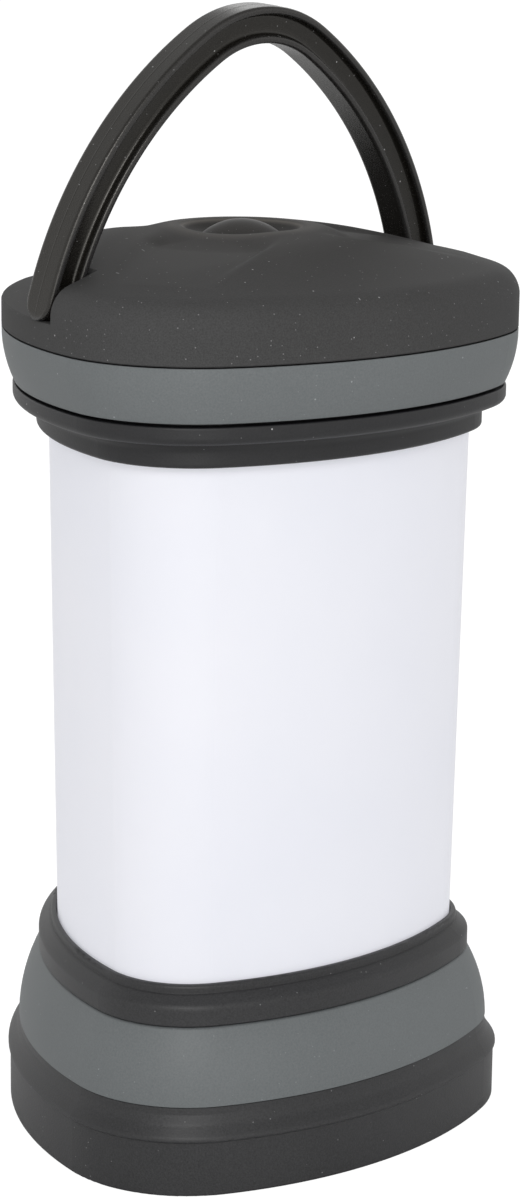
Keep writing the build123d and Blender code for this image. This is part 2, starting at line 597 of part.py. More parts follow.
def top_reflector():
    """Shallow white dish under the lid plate that throws light back down."""
    radius = CONDUIT_Y - CONDUIT_RADIUS - 0.9
    top = LID_PLATE_LOW_Z
    cone = Plane.XZ * section((0, top - 6), (radius, top), (0, top))
    inner = Plane.XZ * section((0, top - 4.8), (radius - 6, top), (0, top))
    return revolve(cone, Axis.Z) - revolve(inner, Axis.Z)


# ---- switch ----------------------------------------------------------------------------
def power_button():
    """Push button: a low spherical cap with a retaining flange and a stem."""
    floor = CROWN_RIM_Z - DISH_DEPTH
    flange_top = floor - DISH_FLOOR_WALL - SLIDE_GAP
    flange_low = flange_top - 1.4
    rim = floor + 0.5
    ball = (BUTTON_RADIUS ** 2 + BUTTON_CAP_RISE ** 2) / (2 * BUTTON_CAP_RISE)
    body = column(BUTTON_RADIUS, flange_low, rim + BUTTON_CAP_RISE)
    cap = body & Pos(0, 0, rim + BUTTON_CAP_RISE - ball) * Sphere(ball)
    flange = column(BUTTON_FLANGE_RADIUS, flange_low, flange_top)
    stem = column(BUTTON_STEM_RADIUS, SWITCH_TOP_Z + 0.6 + BUTTON_TRAVEL, flange_low)
    return cap + flange + stem


def switch_board():
    """Small board that carries the switch, hung from two posts in the dome."""
    half = SWITCH_POST_X + 4.0
    board = block(-half, half, -7, 7, SWITCH_BOARD_Z, SWITCH_BOARD_Z + BOARD_THICKNESS)
    board = fillet(board.edges().filter_by(Axis.Z), 2.0)
    return board - [
        Pos(x, 0, 0) * column(SWITCH_SCREW_RADIUS + 0.15, 0, FAR) for x in (-SWITCH_POST_X, SWITCH_POST_X)]


def switch_board_screws():
    """Two small screws that hold the switch board."""
    head = column(SWITCH_SCREW_RADIUS + 0.9, SWITCH_BOARD_Z - 1.3, SWITCH_BOARD_Z)
    shank = column(SWITCH_SCREW_RADIUS, SWITCH_BOARD_Z, SWITCH_BOARD_Z + 6)
    return Compound([Pos(x, 0, 0) * (head + shank) for x in (-SWITCH_POST_X, SWITCH_POST_X)])


def tact_switch():
    """Square push switch with a round well for its plunger."""
    low = SWITCH_BOARD_Z + BOARD_THICKNESS
    half = PLUNGER_RADIUS + 1.25
    body = block(-half, half, -half, half, low, SWITCH_TOP_Z)
    return body - column(PLUNGER_RADIUS + FIT_GAP, low + 0.5, FAR)


def switch_plunger():
    """Plunger of the push switch, carried down by the button's stem."""
    low = SWITCH_BOARD_Z + BOARD_THICKNESS + 0.8 + BUTTON_TRAVEL
    return column(PLUNGER_RADIUS, low, SWITCH_TOP_Z + 0.6 + BUTTON_TRAVEL)


# ---- handle ----------------------------------------------------------------------------
def handle_section(full):
    """I-shaped section of the bail, x = outwards: the full bar less a channel on each side."""
    face = full
    slot = Rectangle(HANDLE_THICKNESS - 2 * HANDLE_FLANGE, HANDLE_CHANNEL, align=(Align.MAX, Align.CENTER))
    for side in (-1, 1):
        face -= Pos(-HANDLE_FLANGE, side * (HANDLE_WIDTH - HANDLE_CHANNEL) / 2) * slot
    return face


def flank_centre():
    """Centre (x, height above the pivot) of the arc of the right leg's outer line."""
    rise = corner_reach() - HANDLE_APEX_INSET
    apex = Vector(0, rise - HANDLE_APEX_RADIUS)
    pivot = Vector(PIVOT_HALF_SPAN, 0)
    gap = pivot - apex
    inner = HANDLE_FLANK_RADIUS - HANDLE_APEX_RADIUS
    along = (inner ** 2 - HANDLE_FLANK_RADIUS ** 2 + gap.length ** 2) / (2 * gap.length)
    across = math.sqrt(inner ** 2 - along ** 2)
    unit = gap.normalized()
    return apex + unit * along + Vector(unit.Y, -unit.X) * across


def handle_path():
    """Outer line of the upright bail in the XZ plane, from the left pivot to the right."""
    rise = corner_reach() - HANDLE_APEX_INSET
    centre = flank_centre()
    half = math.atan2(-centre.X, rise - HANDLE_APEX_RADIUS - centre.Y)
    low = -HANDLE_WIDTH / 2 - 1.0
    foot = math.acos((low - centre.Y) / HANDLE_FLANK_RADIUS)

    def flank(angle):
        reach = Vector(math.sin(angle), math.cos(angle)) * HANDLE_FLANK_RADIUS
        return centre.X + reach.X, centre.Y + reach.Y

    join = flank(half)
    middle = flank((half + foot) / 2)
    end = flank(foot)
    left = ThreePointArc((-end[0], 0, low), (-middle[0], 0, middle[1]), (-join[0], 0, join[1]))
    apex = ThreePointArc((-join[0], 0, join[1]), (0, 0, rise), (join[0], 0, join[1]))
    right = ThreePointArc((join[0], 0, join[1]), (middle[0], 0, middle[1]), (end[0], 0, low))
    return Wire([left, apex, right])


def handle():
    """Bail of I section with round feet and a stub axle on the inside of each."""
    path = handle_path()
    start = path @ 0
    along = path % 0
    outwards = Vector(-along.Z, 0, along.X)
    plane = Plane(origin=start, x_dir=outwards, z_dir=along)
    full = Rectangle(HANDLE_THICKNESS, HANDLE_WIDTH, align=(Align.MAX, Align.CENTER))
    bail = sweep(plane * handle_section(full), path=path)
    solid = sweep(plane * full, path=path)
    foot_block = block(-FAR, FAR, -FAR, FAR, -FAR, 3.5)
    bail += solid & foot_block
    foot_round = Rot(0, 90, 0) * Cylinder(HANDLE_WIDTH / 2, FAR)
    bail -= block(-FAR, FAR, -FAR, FAR, -FAR, 0) - foot_round
    for side in (-1, 1):
        bail += Pos(side * (STUB_X + 0.6), 0, 0) * Rot(0, 90, 0) * Cylinder(STUB_RADIUS, STUB_LENGTH + 1.2)
    return Pos(0, 0, PIVOT_Z) * Rot(HANDLE_LEAN, 0, 0) * bail


# ---- write every sub-part --------------------------------------------------------------
def build():
    """All nodes by name."""
    nodes = {
        "base_foot": base_foot(),
        "base_trim_band": base_trim_band(),
        "base_collar": base_collar(),
        "base_screws": base_screws(),
        "battery_door": battery_door(),
        "battery_tray": battery_tray(),
        "contact_plates": contact_plates(),
        "contact_springs": contact_springs(),
        "driver_board": driver_board(),
        "heat_sink": heat_sink(),
        "led_board": led_board(),
        "leds": leds(),
        "lower_seal": end_seal(DIFFUSER_LOW_OFFSET, DECK_TOP_Z, DIFFUSER_LOW_Z),
        "diffuser": diffuser(),
        "upper_seal": end_seal(DIFFUSER_HIGH_OFFSET, DIFFUSER_HIGH_Z, LID_PLATE_LOW_Z),
        "wire_conduit": wire_conduit(),
        "lid_collar": lid_collar(),
        "lid_trim_band": lid_trim_band(),
        "lid_dome": lid_dome(),
        "lid_screws": lid_screws(),
        "top_reflector": top_reflector(),
        "power_button": power_button(),
        "switch_board": switch_board(),
        "switch_board_screws": switch_board_screws(),
        "tact_switch": tact_switch(),
        "switch_plunger": switch_plunger(),
        "handle": handle(),
    }
    for index in range(CELL_COUNT):
        nodes[f"battery_{index + 1}"] = battery_cell(index)
    return nodes


os.makedirs("parts", exist_ok=True)
for name, shape in build().items():
    export_step(shape, f"parts/{name}.step")
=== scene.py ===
"""Camping lantern: camera, studio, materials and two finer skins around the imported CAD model."""

import json
import math

import bmesh
import bpy
from mathutils import Matrix, Vector


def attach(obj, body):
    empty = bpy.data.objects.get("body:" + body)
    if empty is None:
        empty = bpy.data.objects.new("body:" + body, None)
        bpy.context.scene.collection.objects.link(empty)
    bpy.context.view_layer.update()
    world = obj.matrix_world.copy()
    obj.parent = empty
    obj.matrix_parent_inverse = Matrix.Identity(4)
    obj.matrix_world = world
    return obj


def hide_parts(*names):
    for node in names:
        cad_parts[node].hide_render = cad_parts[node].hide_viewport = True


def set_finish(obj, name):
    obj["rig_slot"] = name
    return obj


# ---- viewpoint: metres and degrees, in the model's frame -------------------------------------
CAMERA_PLACE = (-0.4464, -0.5207, 0.2740)
CAMERA_HEADING = 41.016     # clockwise from +Y, seen from above
CAMERA_PITCH = 13.117       # below the horizon
CAMERA_ROLL = 0.683
CAMERA_LENS = 97.33         # focal length in millimetres
SENSOR = 36.0               # width in millimetres

# ---- shape of the lid's dome and of the bail, in millimetres ---------------------------------
CORNER_REACH = 30.2         # from the axis out to the centre of each corner arc
CORNER_RADIUS = 28.9
SIDE_REACH = 43.75          # from the axis back to the centre of each side arc
SIDE_RADIUS = 93.3
LID_OFFSET = 0.98           # how far the dome's wall stands outside the foot's
DOME_LOW = 174.15
DOME_WALL_TOP = 181.6
SHOULDER_RUN = 4.6          # reach of the shoulder's arc
SHOULDER_CENTRE = 6.6       # inward distance of the arc's centre
SHOULDER_SQUARE = 44.0      # square of the arc's radius
SHOULDER_SINK = 0.663       # brings the start of the arc down to the wall's top
SHOULDER_TOP = 5.66         # rise at the end of the arc
SHOULDER_SLOPE = 0.33
SHOULDER_BEND = 0.0025
CROWN_RADIUS = 16.0         # where the crown starts, outside the rolled rim of the dish
CROWN_TOP = 195.55
CROWN_SLOPE = 0.125
CROWN_BEND = 0.0018
MEETING_BAND = 1.6          # crown and shoulder are blended where they differ by less
MEETING_SINK = 0.35
BUTTON_HOLE = 8.37
LEDGE_FLOOR = 179.7
LEDGE_OFFSET = -9.72
LEDGE_LEAN = 0.078
LEDGE_RISE = 7.8            # height of the wall behind the folded bail
LEDGE_ROUND = 0.5           # reach of the ledge's rounded edges
LEDGE_FRONT = -5.5          # y of the ends of the ledge
INNER_OFFSET = -20.0        # inside this offset the rows blend into circles
SCOOP_START = 17.0          # radius at which a scoop starts
LEFT_SCOOP_START = 6.0      # the scoop at the front left corner starts inside the rim
SCOOP_FLOOR = 25.0          # radius at which a scoop is deepest
SCOOP_END = 50.0
SCOOP_DEPTH = 1.6
SCOOP_HALF_WIDTH = 14.4     # at SCOOP_MIDDLE from the axis; narrower towards the corner
SCOOP_MIDDLE = 21.0
SCOOP_TAPER = 0.12
SCOOP_EDGE = 0.6            # how far the soft side reaches past the half width
CLOCKWISE_SOFT = 4.8        # width of the scoop's soft side, clockwise of its middle seen from above
OTHER_SOFT = 3.0
CLOCKWISE_FADE = (26.0, 40.0, 20.0)     # degrees: start, end, and how much wider it is at the rim
OTHER_FADE = (20.0, 46.0, 14.0)
WALL_ROUND = 0.25           # rounding of the wall's lower edge
WALL_INSIDE = 2.0           # reach of the underside inside the wall
FRONT_COLUMNS = 260
REAR_COLUMNS = 220
TURNED_COLUMNS = 48
MERGE_DISTANCE = 0.000002   # metres; points nearer than this are one point
DISH = (                    # radius and height, from the rolled rim into the hole of the button
    (14.9, 195.64), (13.9, 195.66), (13.2, 195.58), (12.6, 195.34), (12.1, 194.95), (11.7, 194.5),
    (11.3, 194.12), (10.8, 193.8), (10.1, 193.55), (9.4, 193.42), (BUTTON_HOLE + 0.15, 193.4),
    (BUTTON_HOLE, 193.25), (BUTTON_HOLE, 191.75), (BUTTON_HOLE + 2.0, 191.75),
)
BOSS = ((5.0, 40.5), (5.0, 44.1), (4.7, 44.4), (2.9, 44.4), (2.6, 44.2), (2.6, 40.5))   # radius and x

PIVOT = 184.0
PIVOT_HALF_SPAN = 53.82
BAIL_LEAN = 4.4             # degrees from upright towards -Y, at rest
BAIL_RISE = 57.88
BAIL_APEX_RADIUS = 29.6
BAIL_FLANK_RADIUS = 87.0
BAIL_THICKNESS = 7.7
BAIL_HALF_WIDTH = 4.0
CHANNEL_DEPTH = 1.9         # depth of the hollow between the bail's two flanges
CHANNEL_START = 0.6         # heights above the pivot where the hollow starts and is full
CHANNEL_FULL = 3.6
STUB = ((0.0, 46.6), (2.5, 46.6), (2.5, 43.2), (2.2, 42.95), (0.0, 42.95))      # radius and x

# ---- studio and finishes: metres, watts and levels of light ----------------------------------
LAMPS = (                   # name, place, width and power
    ("key", (-0.68, -0.92, 0.55), 0.8, 3.7),
    ("edge", (-0.78, -0.80, 0.93), 0.4, 3.0),
    ("bail", (-0.22, 0.84, 0.86), 0.9, 0.35),
    ("back", (0.9, 0.7, 0.9), 0.7, 1.3),
)
MIDDLE_HEIGHT = 0.12        # the lamps point here on the lantern's axis
LOW_LIGHT = (0.05, 0.95)    # z of the direction, and level of the world light there
HIGH_LIGHT = (0.9, 0.38)
FLOOR_SIZE = 12.0
FLOOR_SINK = 0.0002         # keeps the floor clear of the foot's rim
FLOOR_GLOW = 1.2
FLOOR_GLOW_SHARE = 0.8      # share of the glow in what the camera sees of the floor
CREVICE_REACH = 0.0016      # how near a surface has to be for painted shade in a crevice
EDGE_HIGHLIGHT_REACH = 0.0014         # how thin an edge has to be to get a painted highlight


def srgb(red, green, blue):
    """Linear colour from 8-bit sRGB levels."""
    def channel(value):
        share = value / 255
        if share <= 0.04045:
            return share / 12.92
        return ((share + 0.055) / 1.055) ** 2.4
    return (channel(red), channel(green), channel(blue), 1.0)


# ---- small helpers for node materials --------------------------------------------------------
class Shader:
    """A node material: holds the tree and adds nodes in one line each."""

    def __init__(self, name, color, roughness, edge=0.0, **settings):
        self.material = bpy.data.materials.new(name)
        self.material.use_nodes = True
        self.tree = self.material.node_tree
        self.bsdf = self.tree.nodes["Principled BSDF"]
        self.bsdf.inputs["Base Color"].default_value = color
        self.bsdf.inputs["Roughness"].default_value = roughness
        self.bsdf.inputs["Specular IOR Level"].default_value = 0.35
        for socket, value in settings.items():
            self.bsdf.inputs[socket.replace("_", " ")].default_value = value
        self.place = self.node("ShaderNodeTexCoord").outputs["Object"]
        self.rounded = None
        if edge:
            bevel = self.node("ShaderNodeBevel", samples=6)
            bevel.inputs["Radius"].default_value = edge
            self.rounded = bevel.outputs["Normal"]

    def node(self, kind, **settings):
        """Add a node and set its own properties."""
        made = self.tree.nodes.new(kind)
        for key, value in settings.items():
            setattr(made, key, value)
        return made

    def link(self, source, target):
        """Join an output socket to an input socket."""
        self.tree.links.new(source, target)

    def noise(self, scale, detail, rough=0.5):
        """Noise value; scale is in features per metre."""
        made = self.node("ShaderNodeTexNoise")
        made.inputs["Scale"].default_value = scale
        made.inputs["Detail"].default_value = detail
        made.inputs["Roughness"].default_value = rough
        self.link(self.place, made.inputs["Vector"])
        return made.outputs["Fac"]

    def stretched(self, x, y, z):
        """Object coordinates scaled per axis."""
        made = self.node("ShaderNodeMapping")
        made.inputs["Scale"].default_value = (x, y, z)
        self.link(self.place, made.inputs["Vector"])
        return made.outputs["Vector"]

    def ramp(self, value, *stops):
        """Colour ramp; stops are (position, colour or grey level)."""
        made = self.node("ShaderNodeValToRGB")
        elements = made.color_ramp.elements
        while len(elements) < len(stops):
            elements.new(0.5)
        for element, (position, color) in zip(elements, stops):
            element.position = position
            element.color = color if isinstance(color, tuple) else (color, color, color, 1.0)
        self.link(value, made.inputs["Fac"])
        return made.outputs["Color"]

    def math(self, operation, first, second):
        """Result of a sum on sockets or numbers."""
        made = self.node("ShaderNodeMath", operation=operation)
        for index, value in enumerate((first, second)):
            if isinstance(value, (int, float)):
                made.inputs[index].default_value = value
            else:
                self.link(value, made.inputs[index])
        return made.outputs["Value"]

    def mix(self, factor, first, second):
        """Mix of two colours."""
        made = self.node("ShaderNodeMix", data_type="RGBA")
        sockets = {"factor": made.inputs[0], "first": made.inputs[6], "second": made.inputs[7]}
        for key, value in (("factor", factor), ("first", first), ("second", second)):
            if isinstance(value, (int, float, tuple)):
                sockets[key].default_value = value
            else:
                self.link(value, sockets[key])
        return made.outputs[2]

    def away(self):
        """Distance from the lantern's axis."""
        made = self.node("ShaderNodeVectorMath", operation="LENGTH")
        self.link(self.stretched(1.0, 1.0, 0.0), made.inputs[0])
        return made.outputs["Value"]

    def specks(self, place, scale, size, share):
        """Sparse dots: cells per metre, dot radius as a share of a cell, share of cells used."""
        cells = self.node("ShaderNodeTexVoronoi", feature="F1")
        cells.inputs["Scale"].default_value = scale
        self.link(place, cells.inputs["Vector"])
        near = self.math("LESS_THAN", cells.outputs["Distance"], size)
        split = self.node("ShaderNodeSeparateColor")
        self.link(cells.outputs["Color"], split.inputs["Color"])
        used = self.math("LESS_THAN", split.outputs["Red"], share)
        return self.math("MULTIPLY", near, used)

    def color(self, value):
        """Use a colour socket as the base colour."""
        self.link(value, self.bsdf.inputs["Base Color"])

    def rough(self, value):
        """Use a grey socket as the roughness."""
        self.link(value, self.bsdf.inputs["Roughness"])

    def relief(self, height, distance):
        """Bump of a height field, on top of the rounded edges where there are any."""
        made = self.node("ShaderNodeBump")
        made.inputs["Distance"].default_value = distance
        self.link(height, made.inputs["Height"])
        if self.rounded:
            self.link(self.rounded, made.inputs["Normal"])
        self.link(made.outputs["Normal"], self.bsdf.inputs["Normal"])


def painted_shade_towards_lid(made, base):
    """Painted shade: colour that turns darker from 50 mm to 160 mm above the floor, towards the lid."""
    split = made.node("ShaderNodeSeparateXYZ")
    made.link(made.place, split.inputs["Vector"])
    share_of_200_mm = made.math("MULTIPLY", split.outputs["Z"], 5.0)
    return made.mix(made.ramp(share_of_200_mm, (0.25, 0.0), (0.8, 0.6)), base, srgb(24, 24, 26))


def dusted(made, base, share, tone):
    """Colour under dust specks of two sizes and a little lint."""
    specks = made.specks(made.place, scale=380.0, size=0.07, share=share * 0.6)
    fine = made.specks(made.place, scale=800.0, size=0.11, share=share)
    lint = made.specks(made.stretched(1.0, 0.22, 0.6), scale=300.0, size=0.045, share=share * 0.5)
    mask = made.math("MAXIMUM", specks, made.math("MULTIPLY", fine, 0.45))
    mask = made.math("MAXIMUM", mask, made.math("MULTIPLY", lint, 0.7))
    return made.mix(made.math("MULTIPLY", mask, 0.8), base, tone)


def ringed(made, base, radius, width, strength, tone):
    """Colour with another tone on a circle round the axis, fading out over a width on both sides."""
    gap = made.math("ABSOLUTE", made.math("SUBTRACT", made.away(), radius), 0.0)
    near = made.math("SUBTRACT", 1.0, made.math("DIVIDE", gap, width))
    near = made.math("MULTIPLY", near, strength)
    return made.mix(made.math("MAXIMUM", near, 0.0), base, tone)


def painted_light_by_occlusion(made, base, distance, full, tone, inside=False):
    """Colour with painted shade in the crevices, or a painted highlight on the thin edges when inside is
    set.

    full is the openness, from 0 to 1, below which the tone has its whole share of 0.85.
    """
    probe = made.node("ShaderNodeAmbientOcclusion", samples=6, inside=inside)
    probe.inputs["Distance"].default_value = distance
    return made.mix(made.ramp(probe.outputs["AO"], (full, 0.85), (0.8, 0.0)), base, tone)


def moulded(name, dark, light, roughness, grain=2600.0, relief=0.00002, dust=0.08,
            dust_color=srgb(175, 175, 175), edge=0.0, fade=False, rings=(), painted_edge_highlight=None):
    """Spark-textured moulded plastic with fine grain, soft mottling, a little dust and lint.

    Lengths are in metres: relief is the depth of the grain, and edge the rounding of the edges; an edge
    also adds painted shade in the crevices.
    """
    made = Shader(name, light, roughness, edge)
    mottle = made.noise(scale=22.0, detail=3.0)
    fine = made.noise(scale=grain, detail=2.0, rough=0.6)
    blend = made.math("ADD", made.math("MULTIPLY", mottle, 0.35), made.math("MULTIPLY", fine, 0.65))
    base = made.ramp(blend, (0.32, dark), (0.68, light))
    # fade paints shade: the colour turns darker towards the lid
    if fade:
        base = painted_shade_towards_lid(made, base)
    base = dusted(made, base, dust, dust_color)
    # painted shade: a darker tone where the occlusion probe finds crevices
    if edge:
        base = painted_light_by_occlusion(made, base, CREVICE_REACH, 0.35, srgb(16, 16, 20))
    for radius, width, strength, tone in rings:
        base = ringed(made, base, radius, width, strength, tone)
    # painted highlight: a lighter tone on thin edges, found by probing inside
    if painted_edge_highlight:
        base = painted_light_by_occlusion(made, base, EDGE_HIGHLIGHT_REACH, 0.45, painted_edge_highlight, inside=True)
    made.color(base)
    made.rough(made.ramp(blend, (0.3, roughness - 0.06), (0.7, roughness + 0.06)))
    made.relief(fine, relief)
    return made


def plain(name, color, roughness, **settings):
    """Simple moulded or metal finish with a fine grain."""
    made = Shader(name, color, roughness, **settings)
    grain = made.noise(scale=1500.0, detail=3.0)
    darker = tuple(channel * 0.86 for channel in color[:3]) + (1.0,)
    made.color(made.ramp(grain, (0.3, darker), (0.7, color)))
    made.rough(made.ramp(grain, (0.3, max(roughness - 0.05, 0.02)), (0.7, roughness + 0.05)))
    made.relief(grain, 0.00001)
    return made


def soft_touch():
    """Soft-touch black of the dome and the button, with a brown tone over the crown and a painted
    highlight on the dish's rim.
    """
    crown_brown = srgb(50, 46, 42)
    painted_rim_highlight = srgb(108, 104, 99)
    rings = (               # radius and width in metres, share of the tone, tone
        # brown tone over the crown, strongest at the axis and gone 60 mm out
        (0.0, 0.06, 0.5, crown_brown),
        # painted highlight on the dish's rolled rim, and a weaker one in a wider band round it
        (0.0126, 0.0007, 0.65, painted_rim_highlight),
        (0.0148, 0.0032, 0.26, painted_rim_highlight),
    )
    made = moulded("soft_black", srgb(57, 57, 57), srgb(75, 75, 75), 0.68,
                   grain=3200.0, dust=0.36, rings=rings)
    made.bsdf.inputs["Specular IOR Level"].default_value = 0.16
    on_button = made.math("LESS_THAN", made.away(), BUTTON_HOLE * 0.001)
    made.link(made.math("MULTIPLY", on_button, 0.26), made.bsdf.inputs["Sheen Weight"])
    made.bsdf.inputs["Sheen Roughness"].default_value = 0.3
    return made


def opal_plastic():
    """Milky plastic; a faint glow stands in for the daylight that it passes on."""
    made = Shader("opal_diffuser", srgb(197, 199, 204), 0.35)
    haze = made.noise(scale=18.0, detail=3.0)
    made.color(made.ramp(haze, (0.3, srgb(194, 195, 202)), (0.7, srgb(200, 200, 205))))
    made.bsdf.inputs["Emission Color"].default_value = srgb(238, 239, 246)
    made.bsdf.inputs["Emission Strength"].default_value = 0.34
    return made


def materials():
    """One finished material for each slot of the record."""
    # painted shade on the black housing: fade darkens it towards the lid, and edge darkens its crevices
    black = moulded("black_housing", srgb(38, 38, 39), srgb(57, 57, 58), 0.44,
                    relief=0.00004, edge=0.0003, fade=True)
    black.bsdf.inputs["Specular IOR Level"].default_value = 0.4
    # painted highlights on the bail's thin edges and flanges
    handle = moulded("handle_plastic", srgb(14, 13, 11), srgb(28, 26, 23), 0.25,
                     relief=0.00003, dust=0.2, painted_edge_highlight=srgb(74, 74, 76))
    handle.bsdf.inputs["Specular IOR Level"].default_value = 0.5
    handle.bsdf.inputs["Specular Tint"].default_value = (1.0, 0.97, 0.91, 1.0)
    # edge also paints shade into the grey trim's crevices
    grey = moulded("grey_trim", srgb(98, 102, 103), srgb(111, 115, 116), 0.5,
                   relief=0.00001, dust=0.15, dust_color=srgb(160, 162, 164), edge=0.0002)
    return {
        "black_housing": black,
        "soft_black": soft_touch(),
        "handle_plastic": handle,
        "grey_trim": grey,
        "opal_diffuser": opal_plastic(),
        "screw_steel": plain("screw_steel", srgb(170, 170, 172), 0.32, Metallic=1.0),
        "white_inner": plain("white_inner", srgb(225, 225, 222), 0.5),
        "contact_steel": plain("contact_steel", srgb(205, 203, 196), 0.22, Metallic=1.0),
        "green_board": plain("green_board", srgb(38, 120, 66), 0.35),
        "white_board": plain("white_board", srgb(232, 232, 228), 0.4),
        "heat_sink_aluminium": plain("heat_sink_aluminium", srgb(196, 198, 200), 0.35, Metallic=1.0),
        "led_lens": plain("led_lens", srgb(240, 228, 160), 0.15),
        "seal_rubber": plain("seal_rubber", srgb(40, 40, 40), 0.7),
        "switch_plastic": plain("switch_plastic", srgb(44, 44, 44), 0.5),
        "plunger_plastic": plain("plunger_plastic", srgb(150, 52, 46), 0.45),
        "cell_sleeve": plain("cell_sleeve", srgb(70, 92, 120), 0.3),
    }


def dress(frame, finished):
    """Give every CAD node the finished material of its slot."""
    for entry in frame["record"]["subparts"]:
        node = frame["nodes"][entry["node"]]
        for slot in node.material_slots:
            slot.material = finished[entry["material_slot"]].material


# ---- mesh building ---------------------------------------------------------------------------
def grid_piece(name, grids, body, slot, replaced, sharp):
    """Closed bands of quads between rows of points given in millimetres, as one visual piece."""
    made = bmesh.new()
    for rows in grids:
        lines = [[made.verts.new([value * 0.001 for value in point]) for point in row] for row in rows]
        for lower, upper in zip(lines, lines[1:]):
            for k in range(len(lower)):
                after = (k + 1) % len(lower)
                made.faces.new((lower[k], lower[after], upper[after], upper[k]))
    bmesh.ops.remove_doubles(made, verts=made.verts, dist=MERGE_DISTANCE)
    bmesh.ops.dissolve_degenerate(made, dist=MERGE_DISTANCE, edges=made.edges)
    bmesh.ops.recalc_face_normals(made, faces=made.faces)
    mesh = bpy.data.meshes.new(name)
    made.to_mesh(mesh)
    made.free()
    mesh.shade_smooth()
    mesh.set_sharp_from_angle(angle=math.radians(sharp))
    piece = bpy.data.objects.new(name, mesh)
    bpy.context.collection.objects.link(piece)
    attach(piece, body)
    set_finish(piece, slot)
    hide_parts(replaced)
    return piece


def outline_radius(angle, offset):
    """Distance from the axis to the rounded triangle, at an offset outside the foot's wall."""
    turn = abs((math.degrees(angle) - 90 + 60) % 120 - 60)
    folded = math.radians(turn)
    corner = CORNER_RADIUS + offset
    side = SIDE_RADIUS + offset
    join_x = CORNER_REACH + SIDE_REACH / 2
    join_y = SIDE_REACH * math.sin(math.radians(60))
    reach = math.hypot(join_x, join_y)
    join = math.atan2(join_y / reach * corner, CORNER_REACH + join_x / reach * corner)
    if folded < join:
        return CORNER_REACH * math.cos(folded) + math.sqrt(
            corner ** 2 - (CORNER_REACH * math.sin(folded)) ** 2)
    rest = math.radians(60) - folded
    return math.sqrt(side ** 2 - (SIDE_REACH * math.sin(rest)) ** 2) - SIDE_REACH * math.cos(rest)


def smooth_step(value, low, high):
    """Zero below low, one above high, and a smooth rise between them."""
    share = min(max((value - low) / (high - low), 0.0), 1.0)
    return share * share * (3 - 2 * share)


# ---- lid dome --------------------------------------------------------------------------------
def shoulder_rise(inward):
    """Height of the soft shoulder above the wall's top, at a distance inside the wall."""
    if inward < SHOULDER_RUN:
        return math.sqrt(SHOULDER_SQUARE - (inward - SHOULDER_CENTRE) ** 2) - SHOULDER_SINK
    run = inward - SHOULDER_RUN
    return SHOULDER_TOP + SHOULDER_SLOPE * run + SHOULDER_BEND * run ** 2


def side_fade(turn, fade, near_rim):
    """One at a scoop's middle and zero past its side; turn is the angle from the middle."""
    low, high, widening = fade
    return 1.0 - smooth_step(turn, low - widening * near_rim, high + widening * near_rim)


def scoop_depth(x, y):
    """Depth of the scoops from the rim of the dish towards the corners, softer on one side."""
    radius = math.hypot(x, y)
    angle = math.degrees(math.atan2(y, x))
    turn = (angle - 90 + 60) % 120 - 60
    along = radius * math.cos(math.radians(turn))
    across = abs(radius * math.sin(math.radians(turn)))
    edge = SCOOP_HALF_WIDTH - SCOOP_TAPER * (along - SCOOP_MIDDLE) + SCOOP_EDGE
    soft = CLOCKWISE_SOFT if turn < 0 else OTHER_SOFT
    inside = 1.0 - smooth_step(across, edge - soft, edge)
    near_rim = 1.0 - smooth_step(radius, CROWN_RADIUS - 2.0, SCOOP_FLOOR)
    inside *= side_fade(-turn, CLOCKWISE_FADE, near_rim)
    inside *= side_fade(turn, OTHER_FADE, near_rim)
    at_front_left = angle < -90 or angle > 150
    start = LEFT_SCOOP_START if at_front_left else SCOOP_START
    fall = max(1.0 - (radius - SCOOP_FLOOR) / (SCOOP_END - SCOOP_FLOOR), 0.0)
    return SCOOP_DEPTH * inside * smooth_step(radius, start, SCOOP_FLOOR) * min(fall, 1.0)


def dome_height(x, y, offset):
    """Height of the dome's skin; offset is that of the outline through the point."""
    radius = math.hypot(x, y)
    run = radius - CROWN_RADIUS
    crown = CROWN_TOP - CROWN_SLOPE * run - CROWN_BEND * run ** 2
    shoulder = DOME_WALL_TOP + shoulder_rise(LID_OFFSET - offset)
    blend = max(MEETING_BAND - abs(crown - shoulder), 0.0) / MEETING_BAND
    return min(crown, shoulder) - blend ** 2 * MEETING_SINK - scoop_depth(x, y)


def column_angles(reach):
    """Angles of the columns of a row, with one column on the line of each end of the ledge."""
    right = -0.1
    for _ in range(6):      # settles on the angle at which the row crosses LEDGE_FRONT
        right = math.asin(LEDGE_FRONT / reach(right))
    left = -math.pi - right
    front = [left + (right - left) * k / FRONT_COLUMNS for k in range(FRONT_COLUMNS + 1)]
    rear = [right + (left + 2 * math.pi - right) * k / REAR_COLUMNS for k in range(REAR_COLUMNS + 1)]
    return front, rear


def offset_row(front_offset, rear_offset, front_height, rear_height):
    """Row of the dome at one offset for the front and one for the rear, where the ledge is.

    A height of None is the skin's own, and a negative one is a share of the climb from the ledge
    to the skin.
    """
    row = []
    for half, offset, height in ((0, front_offset, front_height), (1, rear_offset, rear_height)):
        angles = column_angles(lambda angle: outline_radius(angle, offset))[half]
        for angle in angles:
            radius = outline_radius(angle, offset)
            x = radius * math.cos(angle)
            y = radius * math.sin(angle)
            skin = dome_height(x, y, offset)
            if height is None:
                row.append((x, y, skin))
            elif height < 0:
                row.append((x, y, LEDGE_FLOOR + (skin - LEDGE_FLOOR) * -height))
            else:
                row.append((x, y, height))
    return row


